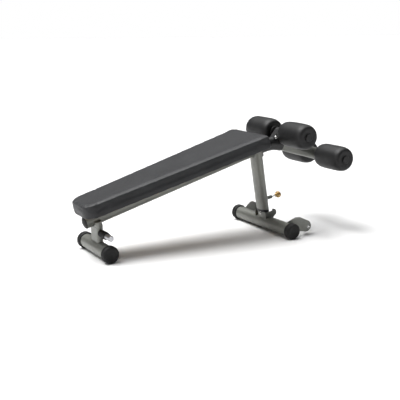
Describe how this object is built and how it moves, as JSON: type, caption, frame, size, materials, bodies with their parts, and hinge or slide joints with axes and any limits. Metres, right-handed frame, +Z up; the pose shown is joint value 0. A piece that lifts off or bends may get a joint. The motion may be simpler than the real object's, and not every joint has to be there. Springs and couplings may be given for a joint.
{
  "type": "decline sit-up bench",
  "caption": "Sloping tapered pad on an oval beam with foam leg rollers at the high end, a telescoping pull-pin post, a side lift handle and transport wheels.",
  "frame": {"origin": "centre of the bench's overall box, on the floor", "axes": "+X from the low head end to the roller end, +Y to the left of somebody who faces the rollers, +Z up"},
  "size_m": [1.6234, 0.58, 0.6421],
  "materials": {
    "frame_paint": "satin",
    "black_paint": "satin",
    "black_plastic": "satin",
    "black_rubber": "matte",
    "roller_foam": "matte",
    "pad_cover": "matte",
    "plywood": "matte",
    "bright_steel": "polished",
    "aluminium": "satin",
    "gold_knob": "satin"
  },
  "bodies": {
    "bench": {"main_beam": "frame_paint", "beam_end_cap": "black_plastic", "arm_end_cap": "black_plastic", "low_post": "frame_paint", "low_post_saddle": "frame_paint", "low_cross_tube": "frame_paint", "low_foot_left": "black_rubber", "low_foot_right": "black_rubber", "handle_bar": "bright_steel", "handle_grip": "black_rubber", "handle_end": "aluminium", "outer_post": "frame_paint", "high_post_saddle": "frame_paint", "post_collar": "black_plastic", "pin_housing": "frame_paint", "axle_bracket": "black_paint", "axle_bolt": "bright_steel", "upper_axle": "bright_steel", "lower_axle": "bright_steel", "axle_cap_upper_left": "black_plastic", "axle_cap_upper_right": "black_plastic", "axle_cap_lower_left": "black_plastic", "axle_cap_lower_right": "black_plastic", "pad_cushion": "pad_cover", "pad_board": "plywood", "pad_plate_low": "frame_paint", "pad_plate_high": "frame_paint", "pad_screw_low_left": "bright_steel", "pad_screw_low_right": "bright_steel", "pad_screw_high_left": "bright_steel", "pad_screw_high_right": "bright_steel"},
    "high_base": {"inner_leg": "frame_paint", "leg_bolt": "bright_steel", "high_cross_tube": "frame_paint", "high_foot_left": "black_rubber", "high_foot_right": "black_rubber", "foot_gusset_left": "frame_paint", "foot_gusset_right": "frame_paint", "wheel_bracket_left": "frame_paint", "wheel_bracket_right": "frame_paint", "wheel_bolt_left": "bright_steel", "wheel_bolt_right": "bright_steel", "wheel_nut_left": "bright_steel", "wheel_nut_right": "bright_steel"},
    "pull_pin": {"pin_plunger": "bright_steel", "pin_knob": "gold_knob", "pin_spring": "bright_steel"},
    "roller_upper_left": {"roller_foam_upper_left": "roller_foam", "roller_core_upper_left": "black_plastic"},
    "roller_upper_right": {"roller_foam_upper_right": "roller_foam", "roller_core_upper_right": "black_plastic"},
    "roller_lower_left": {"roller_foam_lower_left": "roller_foam", "roller_core_lower_left": "black_plastic"},
    "roller_lower_right": {"roller_foam_lower_right": "roller_foam", "roller_core_lower_right": "black_plastic"},
    "wheel_left": {"wheel_left": "black_rubber"},
    "wheel_right": {"wheel_right": "black_rubber"}
  },
  "joints": [
    {"name": "leg_slide", "type": "slide", "parent": "bench", "child": "high_base", "axis": [0.1668, 0, -0.986], "range_m": [0, 0.15]},
    {"name": "pin_slide", "type": "slide", "parent": "bench", "child": "pull_pin", "axis": [0.986, 0, 0.1668], "range_m": [-0.0045, 0.0055], "stiffness_N_per_m": 2000, "springref_m": -0.0045},
    {"name": "roller_spin_upper_left", "type": "hinge", "parent": "bench", "child": "roller_upper_left", "pos_m": [0.4635, 0, 0.5691], "axis": [0, 1, 0], "continuous": true},
    {"name": "roller_spin_upper_right", "type": "hinge", "parent": "bench", "child": "roller_upper_right", "pos_m": [0.4635, 0, 0.5691], "axis": [0, 1, 0], "continuous": true},
    {"name": "roller_spin_lower_left", "type": "hinge", "parent": "bench", "child": "roller_lower_left", "pos_m": [0.7387, 0, 0.4202], "axis": [0, 1, 0], "continuous": true},
    {"name": "roller_spin_lower_right", "type": "hinge", "parent": "bench", "child": "roller_lower_right", "pos_m": [0.7387, 0, 0.4202], "axis": [0, 1, 0], "continuous": true},
    {"name": "wheel_spin_left", "type": "hinge", "parent": "high_base", "child": "wheel_left", "pos_m": [0.5013, 0, 0.0475], "axis": [0, 1, 0], "continuous": true},
    {"name": "wheel_spin_right", "type": "hinge", "parent": "high_base", "child": "wheel_right", "pos_m": [0.5013, 0, 0.0475], "axis": [0, 1, 0], "continuous": true}
  ]
}
